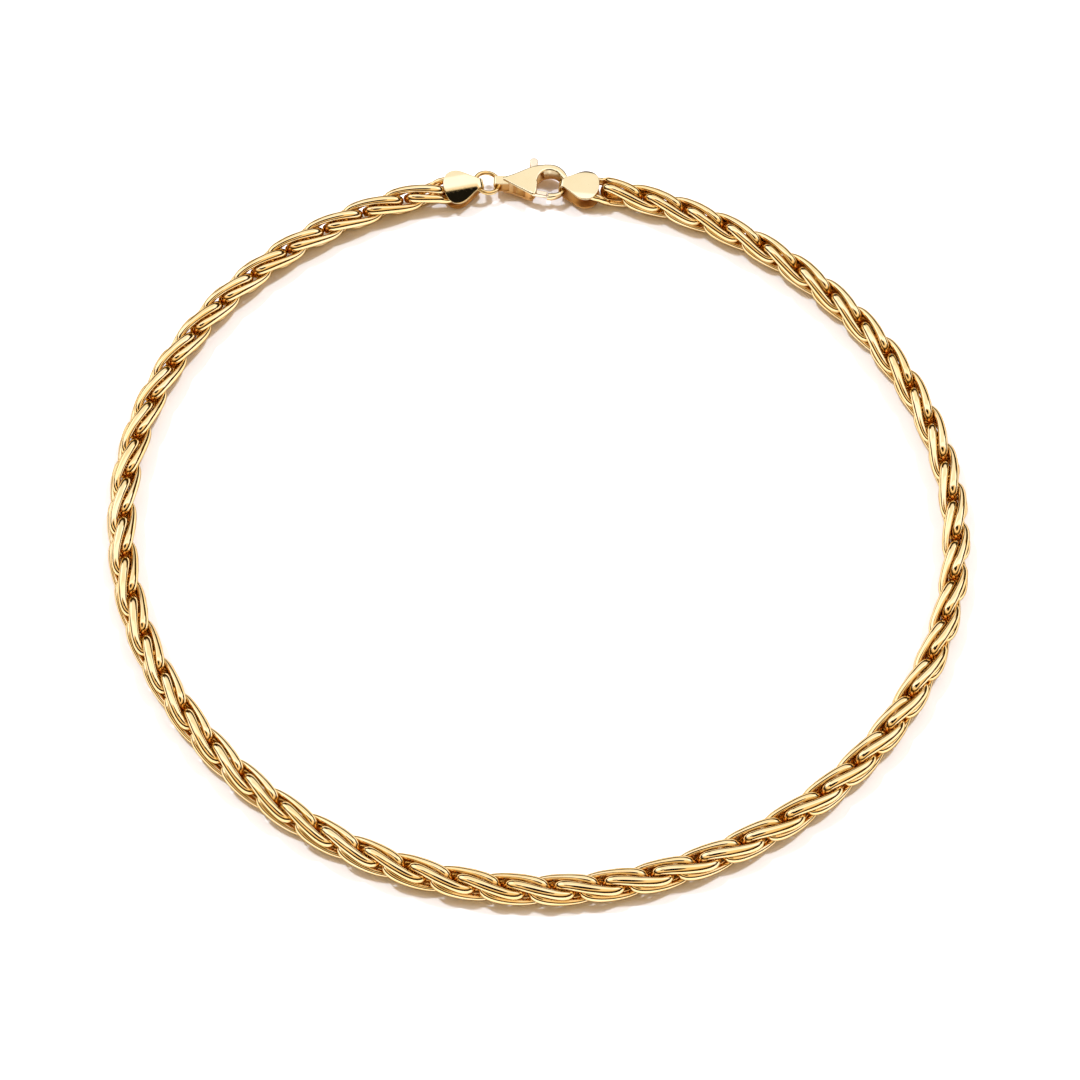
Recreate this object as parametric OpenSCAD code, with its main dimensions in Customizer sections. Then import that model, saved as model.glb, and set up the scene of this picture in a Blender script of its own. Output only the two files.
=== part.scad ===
// Wheat-link chain necklace, lying closed on a flat surface.
// Travel along the chain runs anticlockwise seen from above, from the left end cap to the right one.
// The clasp is at +Y, the surface is z = 0 and every piece is in the pose in which it rests.

/* [Necklace] */
// Length once round the closed necklace, clasp included
loop_length = 450; // [446:1:454]
// Number of chain links
link_count = 104; // [102:1:105]
// Length along the loop between the middles of the two end links
clasp_stretch = 32.75; // [32:0.05:33.5]
// How far the loop swells towards its long diagonal
oval_swell = 1.07; // [0:0.01:1.5]
// How far the loop swells at three places
three_swell = 0.23; // [0:0.01:0.4]
// How far the loop swells at four places
four_swell = 0.26; // [0:0.01:0.4]

/* [Links] */
// Width of the chain over its wires
chain_width = 5.25; // [5.2:0.05:5.6]
// Wire width across the link
wire_width = 1.65; // [1.5:0.05:1.7]
// Wire thickness towards the middle of the chain
wire_thickness = 1.3; // [1.2:0.02:1.36]
// Length of a link between its wire middles, as a share of the chain's pitch
link_reach = 1.33; // [1.32:0.002:1.34]
// Twist of a link from end to end, in degrees
link_twist = 85; // [82:1:88]
// Roll of the first link about the chain, in degrees
first_roll = 13; // [0:1:30]
// Roll from each link to the next, in degrees
roll_step = 90.3; // [89.9:0.05:90.5]

/* [End caps] */
// Length of a cap from its rim to the outside of its strap
cap_length = 7.5; // [7.3:0.1:7.7]
// Widest width of a cap
cap_width = 6.6; // [6:0.1:7]
// Height of a cap over its two plates, in the middle of its width
cap_height = 3.6; // [3.4:0.1:3.8]
// Thickness of a cap's sheet
cap_sheet = 0.3; // [0.25:0.05:0.35]
// Width of a cap at its tip, where the strap starts
cap_tip_width = 2.1; // [2:0.1:2.4]
// Width of the straps that hold the jump ring and the clasp
strap_width = 1.8; // [1.6:0.05:1.85]
// Lean of the left cap towards the inside of the loop, in degrees
left_cap_lean = 17; // [10:1:18]

/* [Jump ring] */
// Outside diameter of the ring
ring_diameter = 5.4; // [5.35:0.05:5.5]
// Thickness of its round wire
ring_wire = 0.85; // [0.8:0.05:0.9]
// Lean of the ring, clasp side down, in degrees
ring_lean = 12; // [8:1:13]

/* [Clasp] */
// Height of the clasp over its two faces
clasp_height = 3; // [2.9:0.1:3.2]
// Height of the slot between the faces, in which the lever turns
slot_height = 2.1; // [2:0.1:2.2]
// Thickness of the hook at its tip
hook_tip = 1; // [0.9:0.05:1.1]
// Diameter of the pin on which the lever turns
pin_diameter = 0.8; // [0.7:0.05:0.9]
// Gap all round the pin inside the lever
pin_gap = 0.05; // [0.02:0.01:0.1]
// Gap between the lever's tip and the hook's tip
tip_gap = 0.15; // [0.1:0.01:0.25]
// Diameter of the thumb knob
knob_diameter = 1.5; // [1.4:0.1:1.6]

/* [Hidden] */
gold = [0.93, 0.74, 0.38];
lever_gold = [0.95, 0.8, 0.5];
loop_shift = [-0.12, -1.47];            // moves the whole necklace so that its box is centred on the origin
left_cap_place = [loop_shift[0] - 10, loop_shift[1] + 71.15, 2.55];
left_cap_turn = 12.5;
right_cap_place = [loop_shift[0] + 4, loop_shift[1] + 70.75, 2.4];
right_cap_turn = 7;
ring_place = [loop_shift[0] - 9.25, loop_shift[1] + 71.6, 2.6];
clasp_place = [loop_shift[0] + 2.2, loop_shift[1] + 70.95, 2.45];
clasp_strap_middle = 0.6;

// Route of the chain: a circle with three small swells, as arc length against angle
oval_angle = -30;
route_start = 92.1;
route_steps = 360;
mean_radius = loop_length / (2 * PI);
function route_radius(f) = mean_radius + oval_swell * cos(2 * (f - oval_angle))
    + three_swell * cos(3 * f) + four_swell * cos(4 * f);
function route_slope(f) = -2 * oval_swell * sin(2 * (f - oval_angle))
    - 3 * three_swell * sin(3 * f) - 4 * four_swell * sin(4 * f);
function route_rate(f) = norm([route_radius(f), route_slope(f)]) * PI / 180;
route_step = 360 / route_steps;
route = [for (i = 0, s = 0; i <= route_steps;
              s = s + route_rate(route_start + (i + 0.5) * route_step) * route_step, i = i + 1)
         [s, route_start + i * route_step]];
route_scale = loop_length / route[route_steps][0];

// Point beside the route: s along it, y towards the inside of the loop, z above the surface
function along(p) =
    let (f = lookup(p[0] / route_scale, route),
         r = route_radius(f),
         d = route_slope(f),
         t = [d * cos(f) - r * sin(f), d * sin(f) + r * cos(f)] / norm([r, d]))
    [route_scale * r * cos(f) - p[1] * t[1] + loop_shift[0],
     route_scale * r * sin(f) + p[1] * t[0] + loop_shift[1],
     p[2]];

// Links: each is a twisted oval ring of oval wire that passes through the next two
link_spacing = (loop_length - clasp_stretch) / (link_count - 1);
pitch = 2 * link_spacing;
half_reach = pitch * link_reach / 2;
half_spread = (chain_width - wire_thickness) / 2;
side_fullness = 0.75;           // below 1 the sides of a link are fuller than an ellipse
shoulder = 0.28;                // extra width beside each end
flat_from = 0.36;               // an end link lies flat in its cap beyond this share of its half length
chain_height = chain_width / 2;
stations = 14;
wire_sides = 5;
half_count = ceil(link_count / 2);

function signed_power(v, p) = sign(v) * pow(abs(v), p);
function ease(v) = let (u = max(0, min(1, v))) u * u * (3 - 2 * u);
function fullness(t) = signed_power(sin(t), side_fullness) * (1 + shoulder * pow(cos(t), 2));
fullest = max([for (t = [0:2:90]) fullness(t)]);

// Roll of a link at one place round it; the end links turn flat inside their caps
function cap_side_of(i) = i == 0 ? -1 : i == link_count - 1 ? 1 : 0;
function cap_roll(i) =
    let (lean = i == 0 ? -left_cap_lean : 0,
         head = first_roll + i * roll_step + cap_side_of(i) * link_twist / 2)
    lean + 180 * round((head - lean) / 180);
function link_roll(i, t) =
    let (free = first_roll + i * roll_step + link_twist / 2 * cos(t))
    free + ease(cap_side_of(i) * cos(t) / flat_from) * (cap_roll(i) - free);
function link_middle(i, t) = [half_reach * cos(t),
    half_spread * fullness(t) / fullest * cos(link_roll(i, t)),
    half_spread * fullness(t) / fullest * sin(link_roll(i, t))];

// Ring of points round the wire of a link at one place
function wire_ring(i, t) =
    let (middle = link_middle(i, t),
         ahead = link_middle(i, t + 1) - link_middle(i, t - 1),
         tangent = ahead / norm(ahead),
         face = [0, -sin(link_roll(i, t)), cos(link_roll(i, t))],
         across = face - (face * tangent) * tangent,
         side = across / norm(across),
         out = cross(tangent, side),
         place = [clasp_stretch / 2 + i * link_spacing, 0, chain_height])
    [for (k = [0:wire_sides - 1])
        let (a = 360 * k / wire_sides)
        along(place + middle + wire_thickness / 2 * cos(a) * out + wire_width / 2 * sin(a) * side)];

function link_points(i) = [for (k = [0:stations - 1]) each wire_ring(i, 360 * (k + 0.5) / stations)];

points_per_link = stations * wire_sides;
function link_faces(n) = [for (i = [0:stations - 1]) for (k = [0:wire_sides - 1])
    let (a = n * points_per_link + i * wire_sides,
         b = n * points_per_link + ((i + 1) % stations) * wire_sides,
         j = (k + 1) % wire_sides)
    for (corner = [[a + k, a + j, b + k], [a + j, b + j, b + k]]) corner];

module links(first, last) {
    polyhedron(points = [for (i = [first:last]) each link_points(i)],
               faces = [for (n = [0:last - first]) each link_faces(n)],
               convexity = 20);
}

module chain_left() {
    color(gold)
        links(0, half_count - 1);
}

module chain_right() {
    color(gold)
        links(half_count, link_count - 1);
}

// Points along an arc
function arc(middle, r, from, to, steps) = [for (i = [0:steps])
    middle + r * [cos(from + (to - from) * i / steps), sin(from + (to - from) * i / steps)]];

// End caps: two arched teardrop plates, joined at the tip by a strap that holds what the cap carries.
// Drawn with the outside of the strap at x = 0, the rim towards +X and mid height at z = 0.
widest = 0.66;                  // place of the greatest width along the plate
arch_radius = 14;
cap_pin_place = 5.4;            // the pin that carries the end link
cap_pin_diameter = 0.7;
outline_steps = 12;

bend_radius = 1.2;              // outside radius of the fold between the plates and the strap
plate_start = 0.14;
function cap_half_width(u) = u < widest
    ? cap_tip_width / 2 + (cap_width - cap_tip_width) / 2 * (1 - cos(180 * pow(u / widest, 1.1))) / 2
    : cap_width / 2 * pow(1 - pow((u - widest) / (1 - widest), 2.3), 1 / 2.3);
cap_side = [for (i = [0:outline_steps]) plate_start + i / outline_steps * (widest - plate_start),
            for (i = [1:outline_steps]) widest + (1 - widest) * sin(90 * min(i / outline_steps, 0.99))];
cap_outline = concat(
    [for (u = cap_side) [u * cap_length, -cap_half_width(u)]],
    [for (i = [len(cap_side) - 1:-1:0]) [cap_side[i] * cap_length, cap_half_width(cap_side[i])]]);

module cap_plate() {
    intersection() {
        linear_extrude(cap_height)
            polygon(cap_outline);
        translate([-1, 0, cap_height / 2 - arch_radius])
            rotate([0, 90, 0])
                difference() {
                    cylinder(h = cap_length + 2, r = arch_radius, $fn = 96);
                    translate([0, 0, -1])
                        cylinder(h = cap_length + 4, r = arch_radius - cap_sheet, $fn = 96);
                }
    }
}

// Strap folded round what it carries, seen from the side as a C that opens towards +X
module folded_strap(half_height, sheet, radius, reach) {
    inside = half_height - sheet;
    translate([0, strap_width / 2, 0])
        rotate([90, 0, 0])
            linear_extrude(strap_width)
                polygon(concat(
                    [[reach, -half_height]],
                    arc([radius, radius - half_height], radius, 270, 180, 6),
                    arc([radius, half_height - radius], radius, 180, 90, 6),
                    [[reach, half_height], [reach, inside]],
                    arc([radius, half_height - radius], radius - sheet, 90, 180, 6),
                    arc([radius, radius - half_height], radius - sheet, 180, 270, 6),
                    [[reach, -inside]]));
}

module end_cap() {
    cap_plate();
    mirror([0, 0, 1])
        cap_plate();
    folded_strap(cap_height / 2 - 0.04, cap_sheet, bend_radius, 2.2);
    translate([cap_pin_place, 0, 0.2 - cap_height / 2])
        cylinder(h = cap_height - 0.4, d = cap_pin_diameter, $fn = 32);
}

module end_cap_left() {
    color(gold)
        translate(left_cap_place)
            rotate([0, 0, 180 + left_cap_turn])
                rotate([-left_cap_lean, 0, 0])
                    end_cap();
}

module end_cap_right() {
    color(gold)
        translate(right_cap_place)
            rotate([0, 0, -right_cap_turn])
                end_cap();
}

// Jump ring: round wire through the left cap's strap and the clasp's strap
module jump_ring() {
    color(gold)
        translate(ring_place)
            rotate([0, ring_lean, 0])
                rotate_extrude($fn = 48)
                    translate([(ring_diameter - ring_wire) / 2, 0])
                        circle(d = ring_wire, $fn = 24);
}

// Clasp. Drawn round the middle of the hook's eye, with mid height at z = 0.
eye_radius = 2.3;
eye_middle = [0.05, 0.35];
hook_radius = 3.5;
hook_middle = [0, 0.5];
hook_foot_radius = 3.25;
hook_foot_middle = [0.05, 0.3];
pivot = [-3.75, -1.35];
gate_radius = 3.45;
gate_angle = -12.4;
gate_width = 1.05;
gate_height = 0.95;
tab_end = [-2.85, 5.1];
tab_height = 1.7;
lever_play = 0.05;
lever_height = slot_height - 2 * lever_play;

eye_side = concat(
    arc(eye_middle, eye_radius, 188, 25, 20),
    [[2.42, 0.95], [2.42, -0.7], [2.32, -1.15], [2, -1.5], [1.5, -1.76], [0.9, -1.88], [0.3, -1.88]],
    arc(pivot, gate_radius + tip_gap, -7, -23, 4),
    arc(hook_foot_middle, hook_foot_radius, -98, -8, 12),
    arc(hook_middle, hook_radius, 0, 84, 12),
    [[-0.7, 3.98], [-2.4, 3.78], [-3.96, 3.15], [-5.8, 2.14]]);
upper_outline = concat(
    [[-8.5, 0.6], [-6.7, -0.65], [-5.2, -1.6], [-3.3, -2.85], [-2.95, -2.95], [-2.6, -2.75], [-2.35, -1.8]],
    eye_side, [[-8.5, 1.0]]);
lower_outline = concat(
    [[-8.5, -0.4], [-6.7, -0.85], [-5.2, -1.55], [-3.6, -2.35], [-3.3, -2.35], [-2.6, -1.7]],
    eye_side, [[-8.5, 1.4]]);

// Side view of the hook: as high as the faces at its root, lowest at its tip
hook_side = [[4.5, clasp_height / 2], [3.3, clasp_height / 2], [1.4, 1.1], [-1.7, hook_tip / 2],
             [-3.5, hook_tip / 2 - 0.05], [-3.5, 0.05 - hook_tip / 2], [-1.7, -hook_tip / 2],
             [1.4, -0.95], [4.5, -1.2]];

module slice(outline, low, high, from, to) {
    intersection() {
        translate([0, 0, low])
            linear_extrude(high - low)
                polygon(outline);
        translate([from, -5, low - 1])
            cube([to - from, 12, high - low + 2]);
    }
}

module hook() {
    intersection() {
        slice(upper_outline, -clasp_height / 2, clasp_height / 2, -1.6, 5);
        translate([-4, 0, 0])
            rotate([90, 0, 90])
                linear_extrude(9)
                    polygon(hook_side);
    }
}

module clasp_body() {
    color(gold)
        translate(clasp_place) {
            slice(upper_outline, slot_height / 2, clasp_height / 2, -9, -0.9);
            slice(lower_outline, -clasp_height / 2, -slot_height / 2, -9, -1.3);
            slice(upper_outline, -clasp_height / 2, clasp_height / 2, -6.6, -6.1);
            hook();
            translate([-10.3, clasp_strap_middle, 0])
                folded_strap(slot_height / 2 + 0.15, 0.28, 0.6, 2.9);
            translate([pivot[0], pivot[1], -clasp_height / 2 + 0.1])
                cylinder(h = clasp_height - 0.2, d = pin_diameter, $fn = 48);
        }
}

module clasp_lever() {
    color(lever_gold)
        translate(clasp_place)
            difference() {
                union() {
                    translate([pivot[0], pivot[1], -lever_height / 2])
                        cylinder(h = lever_height, r = 0.95, $fn = 48);
                    gate();
                    translate([0, 0, -tab_height / 2])
                        linear_extrude(tab_height)
                            polygon([[pivot[0] - 0.75, pivot[1]], [pivot[0] + 0.8, pivot[1]],
                                     [tab_end[0] + knob_diameter / 2, tab_end[1]],
                                     [tab_end[0] - knob_diameter / 2, tab_end[1]]]);
                    translate([tab_end[0], tab_end[1], -tab_height / 2])
                        cylinder(h = tab_height, d = knob_diameter, $fn = 48);
                }
                translate([pivot[0], pivot[1], -slot_height])
                    cylinder(h = 2 * slot_height, d = pin_diameter + 2 * pin_gap, $fn = 48);
            }
}

// Gate of the lever: its end is an arc round the pin
module gate() {
    intersection() {
        translate([pivot[0], pivot[1], 0])
            rotate([0, 0, gate_angle])
                translate([0, -gate_width / 2, -gate_height / 2])
                    cube([gate_radius + 1, gate_width, gate_height]);
        translate([pivot[0], pivot[1], -gate_height])
            cylinder(h = 2 * gate_height, r = gate_radius, $fn = 96);
    }
}

chain_left();
chain_right();
end_cap_left();
end_cap_right();
jump_ring();
clasp_body();
clasp_lever();
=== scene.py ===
"""Looks of a gold wheat-link necklace that lies closed on a pale table."""

import math

import bmesh
import bpy
import numpy as np
from mathutils import Matrix, Vector


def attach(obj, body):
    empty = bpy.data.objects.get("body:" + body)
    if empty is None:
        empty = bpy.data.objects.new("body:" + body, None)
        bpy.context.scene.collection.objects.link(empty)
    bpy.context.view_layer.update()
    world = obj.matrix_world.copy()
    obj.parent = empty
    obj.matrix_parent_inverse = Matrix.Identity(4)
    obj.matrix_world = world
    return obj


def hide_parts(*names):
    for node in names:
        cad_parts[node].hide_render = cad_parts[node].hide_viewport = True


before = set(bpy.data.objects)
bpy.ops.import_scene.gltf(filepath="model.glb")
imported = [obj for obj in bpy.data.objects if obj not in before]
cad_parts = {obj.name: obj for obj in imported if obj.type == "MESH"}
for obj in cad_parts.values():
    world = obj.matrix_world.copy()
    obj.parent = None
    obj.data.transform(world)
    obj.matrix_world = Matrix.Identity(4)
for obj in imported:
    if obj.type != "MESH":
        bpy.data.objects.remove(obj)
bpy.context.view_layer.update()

# Everything is drawn in millimetres and degrees, and made metres when it becomes a piece

# Route of the chain: a circle with three small swells
LOOP_LENGTH = 450.0
OVAL_SWELL = 1.07
OVAL_ANGLE = -30.0
THREE_SWELL = 0.23
FOUR_SWELL = 0.26
ROUTE_START = 92.1
LOOP_SHIFT = Vector((-0.12, -1.47, 0.0))

# Links
LINK_COUNT = 104
CLASP_STRETCH = 32.75
CHAIN_WIDTH = 5.25
WIRE_WIDTH = 1.65
WIRE_THICKNESS = 1.3
LINK_REACH = 1.33
LINK_TWIST = 85.0
FIRST_ROLL = 13.0
ROLL_STEP = 90.3
SIDE_FULLNESS = 0.75
SHOULDER = 0.28
FLAT_FROM = 0.36
LINK_STATIONS = 48
LINK_SIDES = 14

# End caps
CAP_LENGTH = 7.5
CAP_WIDTH = 6.6
CAP_HEIGHT = 3.6
CAP_SHEET = 0.3
CAP_RIM = 0.11
CAP_TIP_WIDTH = 2.1
CAP_ARCH = 14.0
CAP_BEND = 1.2
CAP_WIDEST = 0.66
CAP_SWELL_POWER = 1.1
CAP_END_POWER = 2.3
CAP_PLATE_START = 0.14
CAP_STRAP_FREE = 0.5
CAP_STRAP_BLEND = 1.0
CAP_PIN_PLACE = 5.4
CAP_PIN_DIAMETER = 0.7
CAP_PIN_INSET = 0.15
STRAP_WIDTH = 1.8
LEFT_CAP_LEAN = 17.0

# Jump ring
RING_DIAMETER = 5.4
RING_WIRE = 0.85
RING_LEAN = 12.0

# Clasp, drawn round the middle of the hook's eye. A circle is its middle and its radius.
CLASP_HEIGHT = 3.0
SLOT_HEIGHT = 2.1
EYE = ((0.05, 0.35), 2.3)
HOOK = ((0.0, 0.5), 3.5)
FOOT = ((0.05, 0.3), 3.25)
PIVOT = (-3.75, -1.35)
PIN_DIAMETER = 0.8
PIN_INSET = 0.1
PIN_GAP = 0.05
PALM_SLOPE = (0.3, 0.13)
PALM_RIM = 0.05
LOWER_PLATE_RIM = 0.13
WALL_HEIGHT = 2.6
WALL_RIM = 0.05
TAIL_PLACE = (-10.3, 0.6, 0.0)
TAIL_SHEET = 0.28
TAIL_BEND = 0.6
TAIL_REACH = 2.9
TAIL_RISE = 0.15
TAIL_RIM = 0.07

# Lever of the clasp: a hub round the pin, a gate that closes the hook and a tab for the thumb
HUB_RADIUS = 0.95
HUB_RIM = 0.07
GATE_START = 0.62
GATE_RADIUS = 3.45
GATE_ANGLE = -12.4
GATE_WIDTH = 1.05
GATE_HEIGHT = 0.95
GATE_RIM = 0.22
TIP_GAP = 0.15
KNOB_DIAMETER = 1.6
TAB_END = (-2.82, 5.15)
TAB_WAIST = (0.62, 0.95)
TAB_FOOT_LEFT = (-0.72, 0.72)
TAB_FOOT_RIGHT = (0.75, 0.65)
TAB_HEIGHT = 1.7
TAB_RIM = 0.25
LEVER_PLAY = 0.05

# Corners of the clasp's outlines, seen from above, before a file softens them
PALM_FRONT = [(-8.5, 0.6), (-6.7, -0.65), (-5.2, -1.6), (-3.3, -2.85), (-2.95, -2.95), (-2.6, -2.75),
              (-2.35, -1.8)]
EYE_TO_TIP = [(2.42, 0.95), (2.42, -0.7), (2.32, -1.15), (2.0, -1.5), (1.5, -1.76), (0.9, -1.88),
              (0.3, -1.88)]
PALM_BACK = [(-0.7, 3.98), (-2.4, 3.78), (-3.96, 3.15), (-5.8, 2.14)]
PALM_END = (-8.5, 1.0)
LOWER_FRONT = [(-8.5, -0.4), (-6.7, -0.85), (-5.2, -1.55), (-3.6, -2.35), (-3.3, -2.35), (-2.6, -1.7)]
LOWER_END = (-8.5, 1.4)
WALL = [(-6.6, -0.6), (-6.1, -0.95), (-6.1, 1.95), (-6.6, 1.75)]

# Start and stop of the round stretches in those outlines
EYE_SWEEP = (188, 25)
LOWER_EYE_SWEEP = (188, 108)
TIP_SWEEP = (-7, -23)
FOOT_SWEEP = (-98, -8)
HOOK_SWEEP = (0, 84)
KNOB_SWEEP = (-30, 210)

# Height of the hook's top and of its underside, by the turn round the eye
HOOK_TURNS = (-100, -45, -10, 25, 60, 100)
HOOK_TOPS = (0.5, 0.55, 0.8, 1.15, 1.42, 1.5)
HOOK_UNDERSIDES = (-0.5, -0.56, -0.76, -1.0, -1.24, -1.44)
PALM_TURN = 116.0
HOOK_END_TURN = -112.0
PALM_STEP = 1.5
HOOK_CUTS = list(range(-100, 111, 5)) + [PALM_TURN - PALM_STEP, PALM_TURN + PALM_STEP]
HOOK_MERGE = 0.07

# Painted shade on each part, set by height: full shade below the first height, none above the second
FULLY_SHADED = (2.0, 5.0)
CAP_SHADE_HEIGHTS = (-0.6, 1.5)
PALM_SHADE_HEIGHTS = (-1.6, 1.2)
LOWER_PLATE_SHADE_HEIGHTS = (-1.9, 0.0)
TAIL_SHADE_HEIGHTS = (-1.0, 0.2)
GATE_SHADE_HEIGHTS = (-1.2, 0.1)
TAB_SHADE_HEIGHTS = (-0.8, 0.5)

# Where each fitting lies and how far it is turned
PLACES = {
    "cap_left": (LOOP_SHIFT + Vector((-10, 71.15, 2.55)), 192.5),
    "cap_right": (LOOP_SHIFT + Vector((4, 70.75, 2.4)), -7.0),
    "ring": (LOOP_SHIFT + Vector((-9.25, 71.6, 2.6)), 0.0),
    "clasp": (LOOP_SHIFT + Vector((2.2, 70.95, 2.45)), 0.0),
}

SHARP_RIM = math.radians(50)
SHARP_SHADING = 40.0
MILLIMETRE = 0.001


# Ways to make a shape
def ease(value):
    """0 to 1 with a soft start and stop."""
    share = np.clip(value, 0.0, 1.0)
    return share * share * (3 - 2 * share)


def arc(circle, start, stop, steps):
    """Points along an arc of ((x, y), radius)."""
    (x, y), radius = circle
    turns = np.radians(np.linspace(start, stop, steps + 1))
    return [(x + radius * math.cos(t), y + radius * math.sin(t)) for t in turns]


def softened(points, passes=2):
    """An open line with its corners cut, as a file would."""
    for _ in range(passes):
        cut = [points[0]]
        for (ax, ay), (bx, by) in zip(points, points[1:]):
            cut.append((0.75 * ax + 0.25 * bx, 0.75 * ay + 0.25 * by))
            cut.append((0.25 * ax + 0.75 * bx, 0.25 * ay + 0.75 * by))
        points = cut + [points[-1]]
    return points


def joined(parts):
    """Several shapes as one, each already in its place."""
    whole = bmesh.new()
    for part in parts:
        mesh = bpy.data.meshes.new("part")
        part.to_mesh(mesh)
        part.free()
        whole.from_mesh(mesh)
        bpy.data.meshes.remove(mesh)
    return whole


def face_outwards(bm):
    """Turns the faces of every closed shell outwards, which needs normals that are up to date."""
    bm.normal_update()
    bmesh.ops.recalc_face_normals(bm, faces=bm.faces[:])


def spun_ring(radius, section_radius, stations, sides):
    """Round wire bent into a ring about Z."""
    bm = bmesh.new()
    stand = Matrix.Translation((radius, 0, 0)) @ Matrix.Rotation(math.pi / 2, 4, "X")
    bmesh.ops.create_circle(bm, segments=sides, radius=section_radius, matrix=stand)
    bmesh.ops.spin(
        bm, geom=bm.verts[:] + bm.edges[:], cent=(0, 0, 0), axis=(0, 0, 1),
        angle=2 * math.pi, steps=stations, use_merge=True,
    )
    face_outwards(bm)
    return bm


def sharp_rims(bm):
    """Edges where two faces meet at a sharp corner."""
    return [e for e in bm.edges if len(e.link_faces) == 2 and e.calc_face_angle() > SHARP_RIM]


def rounded(bm, edges, size, steps=3):
    """Edges rounded to a small radius."""
    bmesh.ops.bevel(
        bm, geom=edges, offset=size, offset_type="OFFSET", segments=steps,
        affect="EDGES", profile=0.5, material=-1, clamp_overlap=False,
    )


def level(edge, slant=1e-6):
    """Whether an edge lies level, give or take a rise."""
    return abs(edge.verts[0].co.z - edge.verts[1].co.z) < slant


def plate(outline, low, high, rim=None, steps=3, slope=None):
    """A flat plate cut to an outline. rim is the radius of its rounded rims, slope is (width, fall) of a
    filed edge round its top."""
    bm = bmesh.new()
    floor = bm.faces.new([bm.verts.new((x, y, low)) for x, y in outline])
    grown = bmesh.ops.extrude_face_region(bm, geom=[floor])
    top = [v for v in grown["geom"] if isinstance(v, bmesh.types.BMVert)]
    bmesh.ops.translate(bm, verts=top, vec=(0, 0, high - low))
    if slope:
        width, fall = slope
        bmesh.ops.translate(bm, verts=top, vec=(0, 0, -fall))
        face = [f for f in grown["geom"] if isinstance(f, bmesh.types.BMFace)]
        bmesh.ops.inset_region(bm, faces=face, thickness=width, depth=0, use_even_offset=False)
        bmesh.ops.translate(bm, verts=face[0].verts[:], vec=(0, 0, fall))
    if rim:
        rounded(bm, [e for e in bm.edges if level(e)], rim, steps)
    face_outwards(bm)
    return bm


def shade_by_height(bm, low, high):
    """Marks how much painted shade darkens the metal, by height: fully below low, not at all above high."""
    reach = bm.verts.layers.float.new("unshaded_share")
    for vertex in bm.verts:
        vertex[reach] = min(1.0, max(0.0, (vertex.co.z - low) / (high - low)))
    return bm


def rod(x, y, low, high, diameter):
    """A short round pin that stands upright."""
    bm = bmesh.new()
    bmesh.ops.create_cone(
        bm, cap_ends=True, segments=40, radius1=diameter / 2, radius2=diameter / 2,
        depth=high - low, matrix=Matrix.Translation((x, y, (low + high) / 2)),
    )
    return bm


# Chain
def route_radius(turn):
    """Distance of the route from the middle of the loop, before it is scaled to its length."""
    return (LOOP_LENGTH / (2 * math.pi) + OVAL_SWELL * np.cos(2 * (turn - math.radians(OVAL_ANGLE)))
            + THREE_SWELL * np.cos(3 * turn) + FOUR_SWELL * np.cos(4 * turn))


def route_slope(turn):
    """How fast that distance grows with the turn."""
    return (-2 * OVAL_SWELL * np.sin(2 * (turn - math.radians(OVAL_ANGLE)))
            - 3 * THREE_SWELL * np.sin(3 * turn) - 4 * FOUR_SWELL * np.sin(4 * turn))


def measured_route():
    """Turns once round the loop, and the length of the route up to each of them."""
    turns = np.radians(np.linspace(ROUTE_START, ROUTE_START + 360, 3601))
    halfway = (turns[1:] + turns[:-1]) / 2
    steps = np.hypot(route_radius(halfway), route_slope(halfway)) * np.diff(turns)
    return turns, np.concatenate([[0.0], np.cumsum(steps)])


ROUTE_TURNS, ROUTE_LENGTHS = measured_route()
ROUTE_SCALE = LOOP_LENGTH / ROUTE_LENGTHS[-1]


def along(points):
    """Points given as (along the chain, inwards, up) laid on the chain's route."""
    turn = np.interp(points[:, 0] / ROUTE_SCALE, ROUTE_LENGTHS, ROUTE_TURNS)
    radius, slope = route_radius(turn), route_slope(turn)
    ahead = np.stack([slope * np.cos(turn) - radius * np.sin(turn),
                      slope * np.sin(turn) + radius * np.cos(turn)], 1)
    ahead /= np.hypot(radius, slope)[:, None]
    return np.stack([
        ROUTE_SCALE * radius * np.cos(turn) - points[:, 1] * ahead[:, 1] + LOOP_SHIFT.x,
        ROUTE_SCALE * radius * np.sin(turn) + points[:, 1] * ahead[:, 0] + LOOP_SHIFT.y,
        points[:, 2],
    ], 1)


LINK_SPACING = (LOOP_LENGTH - CLASP_STRETCH) / (LINK_COUNT - 1)
HALF_REACH = LINK_SPACING * LINK_REACH
HALF_SPREAD = (CHAIN_WIDTH - WIRE_THICKNESS) / 2


def side_reach(turn):
    """How far the side of a link stands out, as a share that is yet to be scaled to the widest."""
    sine = np.sin(turn)
    return np.sign(sine) * np.abs(sine) ** SIDE_FULLNESS * (1 + SHOULDER * np.cos(turn) ** 2)


WIDEST_REACH = side_reach(np.linspace(0, math.pi / 2, 91)).max()


def link_roll(link, turn):
    """Roll of a link about the chain at places round it. The two end links turn flat inside their caps."""
    free = FIRST_ROLL + link * ROLL_STEP + LINK_TWIST / 2 * np.cos(turn)
    end = {0: -1, LINK_COUNT - 1: 1}.get(link, 0)
    if end == 0:
        return np.radians(free)
    lean = -LEFT_CAP_LEAN if link == 0 else 0.0
    head = FIRST_ROLL + link * ROLL_STEP + end * LINK_TWIST / 2
    flat = lean + 180 * round((head - lean) / 180)
    return np.radians(free + ease(end * np.cos(turn) / FLAT_FROM) * (flat - free))


def link_middle(link, turn):
    """Middle of a link's wire at places round it, from the middle of the link."""
    reach = HALF_SPREAD * side_reach(turn) / WIDEST_REACH
    roll = link_roll(link, turn)
    return np.stack([HALF_REACH * np.cos(turn), reach * np.cos(roll), reach * np.sin(roll)], 1)


def even_turns(count):
    """Places round a link that are the same length of wire apart."""
    fine = np.linspace(0, 2 * math.pi, 2001) + math.pi / count
    line = link_middle(1, fine)
    lengths = np.concatenate([[0], np.cumsum(np.linalg.norm(np.diff(line, axis=0), axis=1))])
    return np.interp(np.arange(count) / count * lengths[-1], lengths, fine)


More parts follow.
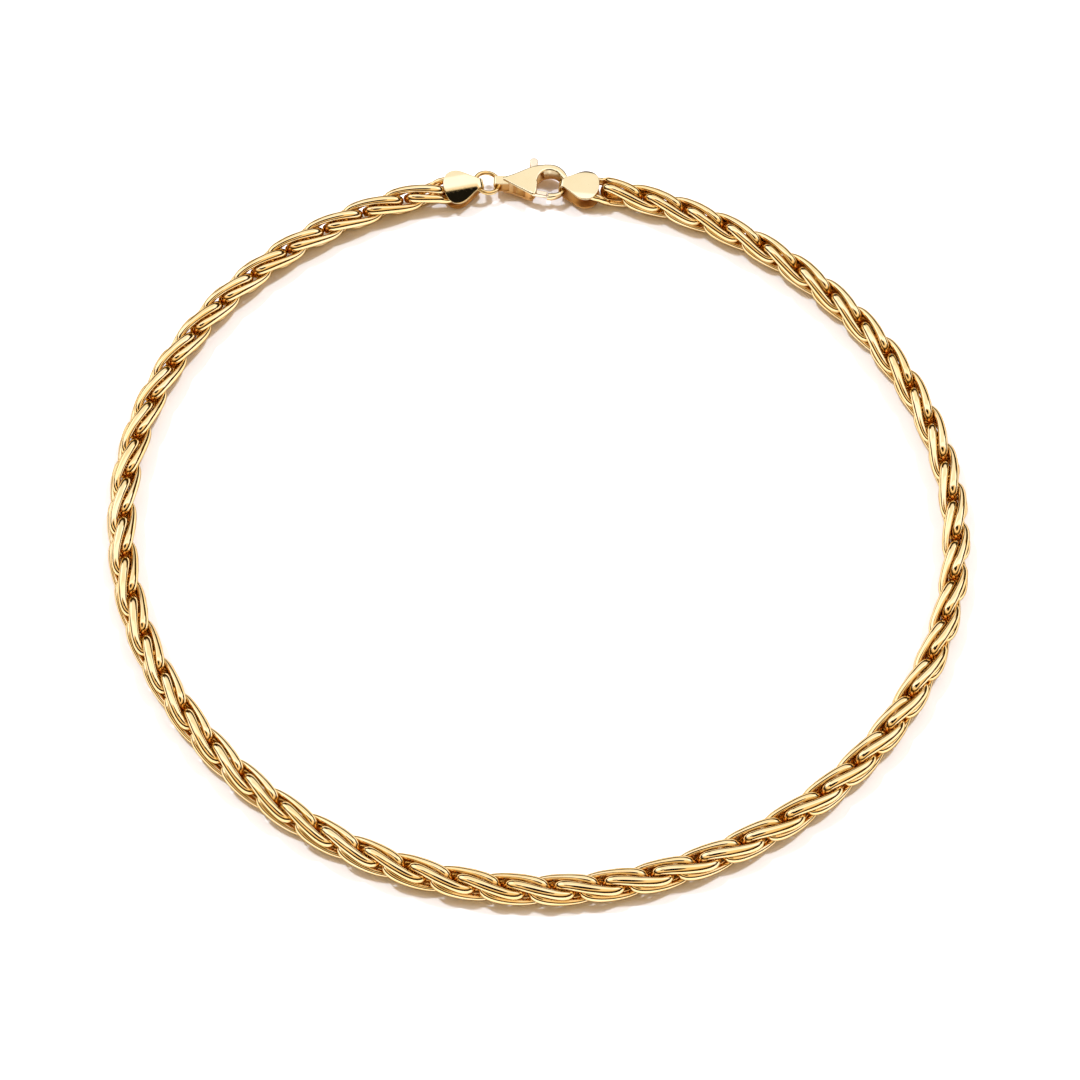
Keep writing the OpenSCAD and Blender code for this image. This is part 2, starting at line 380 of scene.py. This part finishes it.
def unit(vectors):
    """Vectors of length 1."""
    return vectors / np.linalg.norm(vectors, axis=1)[:, None]


def link_skin(link, turn, outwards, sideways):
    """The skin of a bent and twisted link, from the skin of a round ring of wire."""
    roll = link_roll(link, turn)
    nudge = 0.01
    tangent = unit(link_middle(link, turn + nudge) - link_middle(link, turn - nudge))
    face = np.stack([0 * roll, -np.sin(roll), np.cos(roll)], 1)
    side = unit(face - (face * tangent).sum(1)[:, None] * tangent)
    out = np.cross(tangent, side)
    return (link_middle(link, turn) + WIRE_THICKNESS / 2 * outwards * out
            + WIRE_WIDTH / 2 * sideways * side)


def chain(first, last):
    """Links first to last: a round ring of wire each, bent and twisted into its place."""
    ring_radius = 3.0
    blank = spun_ring(ring_radius, 1.0, LINK_STATIONS, LINK_SIDES)
    mesh = bpy.data.meshes.new("link_blank")
    blank.to_mesh(mesh)
    blank.free()
    spots = np.array([v.co for v in mesh.vertices])
    station = np.rint(np.arctan2(spots[:, 1], spots[:, 0]) / (2 * math.pi) * LINK_STATIONS)
    turn = even_turns(LINK_STATIONS)[station.astype(int) % LINK_STATIONS]
    outwards = (np.hypot(spots[:, 0], spots[:, 1]) - ring_radius)[:, None]
    sideways = spots[:, 2:3]
    bm = bmesh.new()
    bent, depths = [], []
    for link in range(first, last + 1):
        bm.from_mesh(mesh)
        skin = link_skin(link, turn, outwards, sideways)
        place = np.array([CLASP_STRETCH / 2 + link * LINK_SPACING, 0.0, CHAIN_WIDTH / 2])
        bent.append(along(place + skin))
        depths.append(np.hypot(skin[:, 1], skin[:, 2]) / (CHAIN_WIDTH / 2))
    # Distance from the chain's middle sets the painted shade: the hollows between the wires get the darkest
    # colour.
    unshaded_share = bm.verts.layers.float.new("unshaded_share")
    for vertex, spot, depth in zip(bm.verts, np.concatenate(bent), np.concatenate(depths)):
        vertex.co = spot
        vertex[unshaded_share] = depth
    face_outwards(bm)
    bpy.data.meshes.remove(mesh)
    return bm


# Folded sheet: caps and straps
def cap_half_width(share):
    """Half width of a cap's plate between its tip and its widest place, by the share of its length."""
    swell = (1 - math.cos(math.pi * (share / CAP_WIDEST) ** CAP_SWELL_POWER)) / 2
    return CAP_TIP_WIDTH / 2 + (CAP_WIDTH - CAP_TIP_WIDTH) / 2 * swell


def fold_line(length, half_height, radius):
    """A place on the folded strip's outside, by length from the middle of the fold: (x, z, level)."""
    wall = half_height - radius
    if length < wall:
        return 0.0, length, 0.0
    bend = (length - wall) / radius
    if bend < math.pi / 2:
        return radius * (1 - math.cos(bend)), wall + radius * math.sin(bend), math.sin(bend)
    return radius + length - wall - radius * math.pi / 2, half_height, 1.0


def fold_length(half_height, radius, reach):
    """Length of half the strip, from the middle of its fold to its end."""
    return half_height - radius + radius * math.pi / 2 + reach - radius


def squared_disc(forward, across):
    """A half square bent to the round end of a cap."""
    x = forward * math.sqrt(1 - across * across / 2)
    y = across * math.sqrt(1 - forward * forward / 2)
    size = math.hypot(x, y)
    if size < 1e-6:
        return x, y
    reach = (abs(x / size) ** CAP_END_POWER + abs(y / size) ** CAP_END_POWER) ** (-1 / CAP_END_POWER)
    return x * (1 + (reach - 1) * size * size), y * (1 + (reach - 1) * size * size)


def cap_spot(along_fold, across):
    """A point of the cap's outer skin. along_fold runs from rim to rim over the strap."""
    half_height = CAP_HEIGHT / 2
    whole = fold_length(half_height, CAP_BEND, CAP_LENGTH)
    x, z, level_share = fold_line(abs(along_fold) * whole, half_height, CAP_BEND)
    middle = CAP_WIDEST * CAP_LENGTH
    if x > middle:
        ahead, beside = squared_disc((x - middle) / (CAP_LENGTH - middle), across)
        x = middle + ahead * (CAP_LENGTH - middle)
        y = CAP_WIDTH / 2 * beside
    else:
        spread = ease((x - CAP_STRAP_FREE) / CAP_STRAP_BLEND)
        wide = cap_half_width(max(x / CAP_LENGTH, CAP_PLATE_START))
        y = across * (STRAP_WIDTH / 2 + spread * (wide - STRAP_WIDTH / 2))
    z -= level_share * (CAP_ARCH - math.sqrt(CAP_ARCH ** 2 - y * y))
    return x, y, math.copysign(z, along_fold)


def tail_spot(along_fold, across):
    """A point of the outer skin of the strap at the clasp's tail."""
    half_height = SLOT_HEIGHT / 2 + TAIL_RISE
    whole = fold_length(half_height, TAIL_BEND, TAIL_REACH)
    x, z, _ = fold_line(abs(along_fold) * whole, half_height, TAIL_BEND)
    return x, across * STRAP_WIDTH / 2, math.copysign(z, along_fold)


def folded_sheet(rows, columns, spot, sheet, rim):
    """A strip of sheet bent over, thickened inwards and rounded at its rims."""
    bm = bmesh.new()
    bmesh.ops.create_grid(bm, x_segments=rows, y_segments=columns, size=1.0)
    for vertex in bm.verts:
        vertex.co = spot(vertex.co.x, vertex.co.y)
    face_outwards(bm)
    bm.faces.ensure_lookup_table()
    top = max(bm.faces, key=lambda f: f.calc_center_median().z)
    if top.normal.z < 0:
        bmesh.ops.reverse_faces(bm, faces=bm.faces[:])
    bmesh.ops.solidify(bm, geom=bm.faces[:], thickness=sheet)
    bm.normal_update()
    rounded(bm, sharp_rims(bm), rim)
    face_outwards(bm)
    return bm


def end_cap():
    """A cap folded from one sheet, with the pin that carries the end link."""
    pin_half = CAP_HEIGHT / 2 - CAP_PIN_INSET
    pin = rod(CAP_PIN_PLACE, 0, -pin_half, pin_half, CAP_PIN_DIAMETER)
    return joined([
        shade_by_height(folded_sheet(76, 12, cap_spot, CAP_SHEET, CAP_RIM), *CAP_SHADE_HEIGHTS),
        shade_by_height(pin, *FULLY_SHADED),
    ])


# Clasp
def hook_line():
    """Outline from the palm round the inside of the eye, over the hook's tip and back along its outside."""
    return (arc(EYE, *EYE_SWEEP, 40)
            + softened(EYE_TO_TIP)
            + arc((PIVOT, GATE_RADIUS + TIP_GAP), *TIP_SWEEP, 4)
            + arc(FOOT, *FOOT_SWEEP, 24)
            + arc(HOOK, *HOOK_SWEEP, 24)
            + softened(PALM_BACK + [PALM_END]))


def hook_and_top_plate():
    """The palm's top plate and the hook in one. Cuts across the hook let it grow thinner to its tip."""
    half = CLASP_HEIGHT / 2
    bm = plate(softened(PALM_FRONT) + hook_line(), -half, half, slope=PALM_SLOPE)
    centre = Vector((EYE[0][0], EYE[0][1], 0))
    for turn in HOOK_CUTS:
        away = math.radians(turn)
        bmesh.ops.bisect_plane(bm, geom=bm.verts[:] + bm.edges[:] + bm.faces[:], plane_co=centre,
                               plane_no=(-math.sin(away), math.cos(away), 0))
    bmesh.ops.remove_doubles(bm, verts=bm.verts[:], dist=HOOK_MERGE)
    bmesh.ops.dissolve_degenerate(bm, edges=bm.edges[:], dist=HOOK_MERGE)
    for vertex in bm.verts:
        turn = math.degrees(math.atan2(vertex.co.y - centre.y, vertex.co.x - centre.x))
        palm = turn > PALM_TURN or turn < HOOK_END_TURN
        if vertex.co.z > 0:
            top = half if palm else float(np.interp(turn, HOOK_TURNS, HOOK_TOPS))
            vertex.co.z += top - half
        else:
            under = SLOT_HEIGHT / 2 if palm else float(np.interp(turn, HOOK_TURNS, HOOK_UNDERSIDES))
            vertex.co.z += under + half
    face_outwards(bm)
    rounded(bm, [e for e in sharp_rims(bm) if level(e, 0.5 * e.calc_length())], PALM_RIM)
    face_outwards(bm)
    return bm


def lower_plate():
    """The palm's lower plate."""
    outline = softened(LOWER_FRONT) + arc(EYE, *LOWER_EYE_SWEEP, 20) + softened(PALM_BACK + [LOWER_END])
    return plate(outline, -CLASP_HEIGHT / 2, -SLOT_HEIGHT / 2, LOWER_PLATE_RIM)


def clasp_body():
    """Palm, hook, lower plate, the wall between the plates, the strap at the tail and the lever's pin."""
    wall = plate(WALL, -WALL_HEIGHT / 2, WALL_HEIGHT / 2, WALL_RIM, 1)
    tail = folded_sheet(44, 8, tail_spot, TAIL_SHEET, TAIL_RIM)
    bmesh.ops.translate(tail, verts=tail.verts[:], vec=TAIL_PLACE)
    pin_half = CLASP_HEIGHT / 2 - PIN_INSET
    pin = rod(*PIVOT, -pin_half, pin_half, PIN_DIAMETER)
    return joined([
        shade_by_height(hook_and_top_plate(), *PALM_SHADE_HEIGHTS),
        shade_by_height(lower_plate(), *LOWER_PLATE_SHADE_HEIGHTS),
        shade_by_height(wall, *FULLY_SHADED),
        shade_by_height(tail, *TAIL_SHADE_HEIGHTS),
        shade_by_height(pin, *FULLY_SHADED),
    ])


def hub():
    """A short tube round the clasp's pin."""
    bm = bmesh.new()
    inner, half = PIN_DIAMETER / 2 + PIN_GAP, SLOT_HEIGHT / 2 - LEVER_PLAY
    corners = [bm.verts.new((r, 0, z)) for r, z in
               [(inner, -half), (HUB_RADIUS, -half), (HUB_RADIUS, half), (inner, half)]]
    edges = [bm.edges.new((a, b)) for a, b in zip(corners, corners[1:] + corners[:1])]
    bmesh.ops.spin(bm, geom=corners + edges, cent=(0, 0, 0), axis=(0, 0, 1), angle=2 * math.pi, steps=48,
                   use_merge=True)
    bm.normal_update()
    rounded(bm, sharp_rims(bm), HUB_RIM)
    bmesh.ops.translate(bm, verts=bm.verts[:], vec=(*PIVOT, 0))
    face_outwards(bm)
    return bm


def gate():
    """The bar that closes the hook. Its end is an arc round the pin."""
    half = GATE_WIDTH / 2
    swing = math.degrees(math.asin(half / GATE_RADIUS))
    bar = [(GATE_START, -half)] + arc(((0, 0), GATE_RADIUS), -swing, swing, 6) + [(GATE_START, half)]
    bm = plate(bar, -GATE_HEIGHT / 2, GATE_HEIGHT / 2, GATE_RIM, 4)
    bm.transform(Matrix.Translation((*PIVOT, 0)) @ Matrix.Rotation(math.radians(GATE_ANGLE), 4, "Z"))
    return bm


def thumb_tab():
    """The tab for the thumb, with a slight waist below its round knob."""
    waist, drop = TAB_WAIST
    foot = [(PIVOT[0] + x, PIVOT[1] + y) for x, y in (TAB_FOOT_LEFT, TAB_FOOT_RIGHT)]
    knob = arc((TAB_END, KNOB_DIAMETER / 2), *KNOB_SWEEP, 24)
    outline = (foot + [(TAB_END[0] + waist, TAB_END[1] - drop)] + knob
               + [(TAB_END[0] - waist, TAB_END[1] - drop)])
    return plate(outline, -TAB_HEIGHT / 2, TAB_HEIGHT / 2, TAB_RIM, 4)


def lever():
    """Hub, gate and thumb tab."""
    return joined([
        shade_by_height(hub(), *FULLY_SHADED),
        shade_by_height(gate(), *GATE_SHADE_HEIGHTS),
        shade_by_height(thumb_tab(), *TAB_SHADE_HEIGHTS),
    ])


# Finishes
class Feed:
    """One output in a finish; sums on it add Math nodes."""

    def __init__(self, bench, socket):
        self.bench = bench
        self.socket = socket

    def _sum(self, operation, first, second=0.0):
        return self.bench.add("ShaderNodeMath", {"operation": operation}, {0: first, 1: second})

    def __add__(self, other):
        return self._sum("ADD", self, other)

    def __sub__(self, other):
        return self._sum("SUBTRACT", self, other)

    def __mul__(self, other):
        return self._sum("MULTIPLY", self, other)

    def __rsub__(self, other):
        return self._sum("SUBTRACT", other, self)

    def __abs__(self):
        return self._sum("ABSOLUTE", self)

    __radd__ = __add__
    __rmul__ = __mul__


class Bench:
    """A tree of nodes and the ways to add to it."""

    def __init__(self, tree):
        self.tree = tree

    def add(self, kind, settings=None, values=None, output=0):
        """Any node: its settings first, then the values or links of its sockets."""
        node = self.tree.nodes.new(kind)
        for key, value in (settings or {}).items():
            setattr(node, key, value)
        for key, value in (values or {}).items():
            self.plug(node.inputs[key], value)
        return Feed(self, node.outputs[output])

    def plug(self, socket, value):
        """A link or a plain value into a socket."""
        if isinstance(value, Feed):
            self.tree.links.new(value.socket, socket)
        else:
            socket.default_value = value

    def between(self, low, high, value, soft=False):
        """0 up to low, 1 from high on."""
        kind = "SMOOTHSTEP" if soft else "LINEAR"
        return self.add("ShaderNodeMapRange", {"interpolation_type": kind}, {
            "Value": value, "From Min": low, "From Max": high, "To Min": 0.0, "To Max": 1.0})

    def blend(self, share, first, second):
        """Two colours mixed by a share."""
        return self.add("ShaderNodeMix", {"data_type": "RGBA"}, {0: share, 6: first, 7: second}, output=2)


class Finish(Bench):
    """A material and its nodes."""

    def __init__(self, name):
        self.material = bpy.data.materials.new(name)
        self.material.use_nodes = True
        super().__init__(self.material.node_tree)
        self.shader = self.tree.nodes["Principled BSDF"]
        self.place = self.add("ShaderNodeTexCoord", output="Object")

    def noise(self, scale, detail=2.0, roughness=0.5, vector=None):
        """Cloudy noise, on the piece's own places unless a vector is given."""
        return self.add("ShaderNodeTexNoise", None, {
            "Vector": vector or self.place, "Scale": scale, "Detail": detail, "Roughness": roughness})

    def stretched(self, scale, turn):
        """Places stretched and turned, for hairlines that run one way."""
        return self.add("ShaderNodeMapping", None, {"Vector": self.place, "Scale": scale, "Rotation": turn})

    def set(self, **values):
        """Values or links for the shader's sockets."""
        for key, value in values.items():
            self.plug(self.shader.inputs[key.replace("_", " ")], value)


def polished_gold(name, rich, pale, haze, waviness, edge, inside=None, inside_haze=0.1):
    """Polished gold: a slow drift of colour, a fine haze, hairline scratches and slight waves.
    edge is the tint of its rims seen at a slant; inside is the darker colour of painted shade laid on hollow
    and low-lying metal, and inside_haze how much rougher the metal is there."""
    gold = Finish(name)
    drift = gold.between(0.35, 0.65, gold.noise(scale=160.0, detail=3.0))
    cloud = gold.noise(scale=900.0, detail=3.0, roughness=0.6)
    grain = gold.noise(scale=9000.0)
    lines = gold.noise(1.0, vector=gold.stretched((900.0, 14000.0, 5000.0), turn=(0.3, 0.2, 0.6)))
    more_lines = gold.noise(1.0, vector=gold.stretched((12000.0, 800.0, 6000.0), turn=(0.1, 0.4, -0.4)))
    scratches = gold.between(0.62, 0.78, lines) + gold.between(0.64, 0.8, more_lines)
    waves = gold.noise(scale=750.0, detail=1.0)
    colour = gold.blend(gold.between(0.55, 0.75, cloud) * 0.35, gold.blend(drift, rich, pale), pale)
    roughness = haze + gold.between(0.4, 0.7, cloud) * 0.03 + scratches * 0.04
    # Painted shade: hollow and low-lying metal turns towards the inside colour, dark and warm.
    if inside:
        unshaded_share = gold.add("ShaderNodeAttribute", {"attribute_name": "unshaded_share"}, output="Fac")
        left_unshaded = gold.between(0.3, 0.75, unshaded_share + (cloud - 0.5) * 0.15, soft=True)
        colour = gold.blend(left_unshaded, inside, colour)
        roughness = roughness + (1 - left_unshaded) * inside_haze
    gold.set(Metallic=1.0, Base_Color=colour, Roughness=roughness, Specular_Tint=edge)
    gold.set(Normal=gold.add("ShaderNodeBump", None, {
        "Height": waves * waviness + grain * 0.008 - scratches * 0.01, "Strength": 1.0, "Distance": 0.0001}))
    return gold.material


def pale_table():
    """A matt pale table top: slightly warm, so that it comes out white under the cool lamps."""
    table = Finish("pale_table")
    grain = table.noise(scale=40.0, detail=3.0)
    table.set(Base_Color=table.blend(grain, (0.93, 0.87, 0.78, 1), (0.95, 0.89, 0.80, 1)), Roughness=0.75)
    table.set(Specular_IOR_Level=0.2)
    return table.material


# Pieces
def make_piece(name, bm, material, body, node, all_round=False):
    """A shape drawn in millimetres becomes a piece of the necklace in metres."""
    bm.transform(Matrix.Scale(MILLIMETRE, 4))
    mesh = bpy.data.meshes.new(name)
    bm.to_mesh(mesh)
    bm.free()
    mesh.polygons.foreach_set("use_smooth", [True] * len(mesh.polygons))
    mesh.set_sharp_from_angle(angle=math.radians(180.0 if all_round else SHARP_SHADING))
    mesh.materials.append(material)
    piece = bpy.data.objects.new(name, mesh)
    bpy.context.scene.collection.objects.link(piece)
    if not all_round:
        flats = piece.modifiers.new("flats_stay_flat", "WEIGHTED_NORMAL")
        flats.keep_sharp = True
    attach(piece, body)
    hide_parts(node)
    return piece


def put(bm, place, lean=None):
    """A shape leaned, turned and moved to one of the places."""
    spot, turn = PLACES[place]
    bm.transform(Matrix.Translation(spot) @ Matrix.Rotation(math.radians(turn), 4, "Z") @ (lean or Matrix()))
    return bm


# Each inside colour is painted shade. The chain's orange one also paints the warm reflections between its
# wires.
chain_gold = polished_gold(
    "chain_gold", rich=(0.89, 0.66, 0.32, 1), pale=(0.94, 0.74, 0.42, 1), haze=0.03, waviness=0.06,
    edge=(0.35, 0.2, 0.08, 1), inside=(0.82, 0.45, 0.11, 1))
fitting_gold = polished_gold(
    "fitting_gold", rich=(0.84, 0.70, 0.42, 1), pale=(0.87, 0.74, 0.47, 1), haze=0.03, waviness=0.02,
    edge=(0.4, 0.25, 0.1, 1), inside=(0.62, 0.34, 0.12, 1), inside_haze=0.4)
ring_gold = polished_gold(
    "ring_gold", rich=(0.80, 0.57, 0.25, 1), pale=(0.84, 0.63, 0.31, 1), haze=0.035, waviness=0.03,
    edge=(0.3, 0.2, 0.06, 1))
lever_gold = polished_gold(
    "lever_gold", rich=(0.90, 0.76, 0.55, 1), pale=(0.92, 0.80, 0.62, 1), haze=0.04, waviness=0.02,
    edge=(0.6, 0.45, 0.3, 1), inside=(0.62, 0.34, 0.12, 1), inside_haze=0.4)

half_count = math.ceil(LINK_COUNT / 2)
make_piece("left_links", chain(0, half_count - 1), chain_gold, "necklace", "chain_left",
           all_round=True)
make_piece("right_links", chain(half_count, LINK_COUNT - 1), chain_gold, "necklace",
           "chain_right", all_round=True)
left_lean = Matrix.Rotation(math.radians(-LEFT_CAP_LEAN), 4, "X")
make_piece("left_cap", put(end_cap(), "cap_left", left_lean), fitting_gold, "necklace",
           "end_cap_left")
make_piece("right_cap", put(end_cap(), "cap_right"), fitting_gold, "necklace",
           "end_cap_right")
ring = spun_ring((RING_DIAMETER - RING_WIRE) / 2, RING_WIRE / 2, 96, 24)
ring_lean = Matrix.Rotation(math.radians(RING_LEAN), 4, "Y")
make_piece("ring_of_wire", put(ring, "ring", ring_lean), ring_gold, "necklace", "jump_ring",
           all_round=True)
make_piece("clasp", put(clasp_body(), "clasp"), fitting_gold, "necklace", "clasp_body")
make_piece("clasp_thumb_lever", put(lever(), "clasp"), lever_gold, "lever", "clasp_lever")


# Table, light and camera, in metres
def table_top():
    """A wide flat table under the necklace."""
    bm = bmesh.new()
    bmesh.ops.create_grid(bm, x_segments=1, y_segments=1, size=3.0)
    mesh = bpy.data.meshes.new("table_top")
    bm.to_mesh(mesh)
    bm.free()
    table = bpy.data.objects.new("table_top", mesh)
    mesh.materials.append(pale_table())
    bpy.context.scene.collection.objects.link(table)


def table_lamp(name, spot, spread, strength, colour):
    """A lamp far away, spread degrees wide. It lights the table; what the gold mirrors is the room."""
    light = bpy.data.lights.new(name, "SUN")
    light.angle = math.radians(spread)
    light.energy = strength
    light.color = colour
    lamp = bpy.data.objects.new(name, light)
    bpy.context.scene.collection.objects.link(lamp)
    lamp.location = spot
    lamp.rotation_euler = (-Vector(spot)).to_track_quat("-Z", "Y").to_euler()
    lamp.visible_glossy = False


def studio_room():
    """A warm room, dark at the horizon, with a white softbox behind the necklace, one at each side and a
    strip overhead. It is dark where the camera stands and a little to the left of there."""
    front_walls, back_walls = (0.54, 0.34, 0.13, 1), (0.84, 0.59, 0.30, 1)
    horizon = (0.045, 0.024, 0.005, 1)
    ceiling = (1.18, 0.90, 0.57, 1)
    softbox, side_box, strip = (1.16, 1.13, 1.12, 1), (1.6, 1.6, 1.75, 1), (1.5, 1.48, 1.7, 1)
    dark = (0.012, 0.010, 0.008, 1)
    world = bpy.data.worlds.new("studio")
    bpy.context.scene.world = world
    world.use_nodes = True
    room = Bench(world.node_tree)
    direction = room.add("ShaderNodeTexCoord", output="Generated")
    rise = room.add("ShaderNodeSeparateXYZ", None, {0: direction}, output="Z")
    depth = room.add("ShaderNodeSeparateXYZ", None, {0: direction}, output="Y")

    def along_with(x, y, z):
        """How far the view runs along a direction."""
        return room.add("ShaderNodeVectorMath", {"operation": "DOT_PRODUCT"},
                        {0: direction, 1: Vector((x, y, z)).normalized()}, output="Value")

    def near(x, y, z, inner, outer):
        """1 within inner degrees of a direction, 0 beyond outer."""
        return room.between(math.cos(math.radians(outer)), math.cos(math.radians(inner)),
                            along_with(x, y, z), soft=True)

    walls = room.blend(room.between(0.2, 0.7, 0 - depth), back_walls, front_walls)
    walls = room.blend(room.between(0.45, 0.56, rise, soft=True), horizon, walls)
    light = room.blend(room.between(0.52, 0.72, rise, soft=True), walls, ceiling)
    light = room.blend(near(0.0, 0.53, 0.85, 24, 38), light, softbox)
    light = room.blend(near(-0.70, 0.50, 0.50, 15, 20), light, side_box)
    light = room.blend(near(0.66, 0.42, 0.62, 9, 14), light, side_box)
    on_strip = 1 - room.between(0.11, 0.19, abs(along_with(0, 0.98, -0.2)), soft=True)
    overhead = room.between(0.3, 0.6, rise, soft=True)
    light = room.blend(on_strip * overhead, light, strip)
    light = room.blend(near(0.0, -0.326, 0.946, 17.5, 19.5), light, dark)
    light = room.blend(near(-0.42, -0.12, 0.90, 9.0, 11.0), light, dark)
    sky = room.tree.nodes["Background"]
    room.plug(sky.inputs["Color"], light)
    sky.inputs["Strength"].default_value = 1.0


PHOTO_SIDE_PIXELS = 1080.0
FOCAL_LENGTH_PIXELS = 3232.3
SHIFT_RIGHT_PIXELS = -2.0
SHIFT_UP_PIXELS = -5.0
SENSOR_WIDTH = 36.0
ELEVATION = math.radians(59.4)
DISTANCE = 0.56
AIM = Vector((0.00076, -0.00566, 0.0026))


def photo_camera():
    """The camera at the photograph's angle."""
    camera = bpy.data.cameras.new("camera")
    camera.sensor_width = SENSOR_WIDTH
    camera.lens = FOCAL_LENGTH_PIXELS / PHOTO_SIDE_PIXELS * SENSOR_WIDTH
    camera.shift_x = SHIFT_RIGHT_PIXELS / PHOTO_SIDE_PIXELS
    camera.shift_y = SHIFT_UP_PIXELS / PHOTO_SIDE_PIXELS
    camera.clip_start = 0.01
    camera.clip_end = 20.0
    view = bpy.data.objects.new("camera", camera)
    view.location = AIM + Vector((0, -DISTANCE * math.cos(ELEVATION), DISTANCE * math.sin(ELEVATION)))
    view.rotation_euler = (math.radians(90) - ELEVATION, 0, 0)
    bpy.context.scene.collection.objects.link(view)
    bpy.context.scene.camera = view


table_top()
for lamp_name, lamp_side in (("left_lamp", -1), ("right_lamp", 1)):
    table_lamp(lamp_name, (lamp_side * 0.50, 0.42, 1.05), spread=5.0, strength=2.1,
               colour=(0.80, 0.93, 1.15))
studio_room()
photo_camera()
bpy.context.scene.view_settings.view_transform = "Standard"
